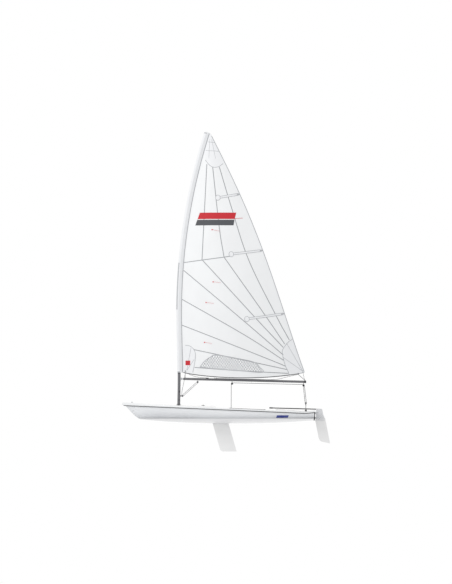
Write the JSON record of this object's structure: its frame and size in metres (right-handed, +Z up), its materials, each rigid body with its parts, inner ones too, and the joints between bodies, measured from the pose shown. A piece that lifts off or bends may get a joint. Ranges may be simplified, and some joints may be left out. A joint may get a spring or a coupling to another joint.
{
  "type": "sailing dinghy",
  "caption": "Single-handed sailing dinghy, afloat with its sail set: decked hull with cockpit well, unstayed mast, sleeve sail, boom and vang, daggerboard, kick-up rudder and tiller.",
  "frame": {"origin": "amidships of the hull's overall length, on the centreline, at the waterline", "axes": "+X aft, +Y to starboard, +Z up"},
  "size_m": [4.5745, 1.3882, 7.0572],
  "materials": {
    "hull_gelcoat": "gloss",
    "deck_gelcoat": "satin, non-slip panels",
    "gunwale_gelcoat": "gloss",
    "moulded_plastic": "matte black",
    "anodised_alloy": "satin anodised",
    "stainless": "polished",
    "webbing": "woven",
    "rope": "braided",
    "sailcloth": "crisp woven polyester",
    "foil_gelcoat": "gloss",
    "rudder_casting": "satin"
  },
  "bodies": {
    "hull_body": {"hull": "hull_gelcoat", "deck": "deck_gelcoat", "gunwale": "gunwale_gelcoat", "cockpit_tub": "deck_gelcoat", "daggerboard_trunk": "deck_gelcoat", "mast_step": "moulded_plastic", "bow_eye": "stainless", "deck_cleat": "moulded_plastic", "grab_rails": "moulded_plastic", "hiking_strap": "webbing", "ratchet_block": "moulded_plastic", "traveller_fairleads": "moulded_plastic", "traveller_block": "moulded_plastic", "traveller_rope": "rope", "transom_gudgeons": "stainless", "drain_plug": "moulded_plastic", "cockpit_bailer": "moulded_plastic"},
    "rig": {"mast_heel_plug": "moulded_plastic", "lower_mast": "anodised_alloy", "upper_mast": "anodised_alloy", "mast_collar": "moulded_plastic", "masthead_cap": "moulded_plastic", "gooseneck": "stainless", "boom": "anodised_alloy", "boom_end_caps": "moulded_plastic", "boom_middle_block": "moulded_plastic", "boom_end_block": "moulded_plastic", "vang_mast_block": "moulded_plastic", "vang_boom_block": "moulded_plastic", "vang_rope": "rope", "sail_sleeve": "sailcloth", "sail_body": "sailcloth"},
    "board": {"daggerboard": "foil_gelcoat", "daggerboard_head": "moulded_plastic"},
    "rudder": {"rudder_head": "rudder_casting", "rudder_pintles": "stainless", "rudder_bolt": "stainless", "tiller": "anodised_alloy", "tiller_grip": "moulded_plastic", "tiller_extension": "anodised_alloy"},
    "blade": {"rudder_blade": "foil_gelcoat"}
  },
  "joints": [
    {"name": "rig_turn", "type": "hinge", "parent": "hull_body", "child": "rig", "pos_m": [-0.87566, 0, -0.03], "axis": [0.0175, 0, 0.9998], "range_deg": [-95, 95]},
    {"name": "daggerboard_lift", "type": "slide", "parent": "hull_body", "child": "board", "axis": [-0.2756, 0, 0.9613], "range_m": [0, 0.61]},
    {"name": "rudder_turn", "type": "hinge", "parent": "hull_body", "child": "rudder", "pos_m": [2.137, 0, 0], "axis": [0, 0, 1], "range_deg": [-45, 45]},
    {"name": "rudder_kick", "type": "hinge", "parent": "rudder", "child": "blade", "pos_m": [2.222, 0, 0], "axis": [0, -1, 0], "range_deg": [0, 85]}
  ]
}
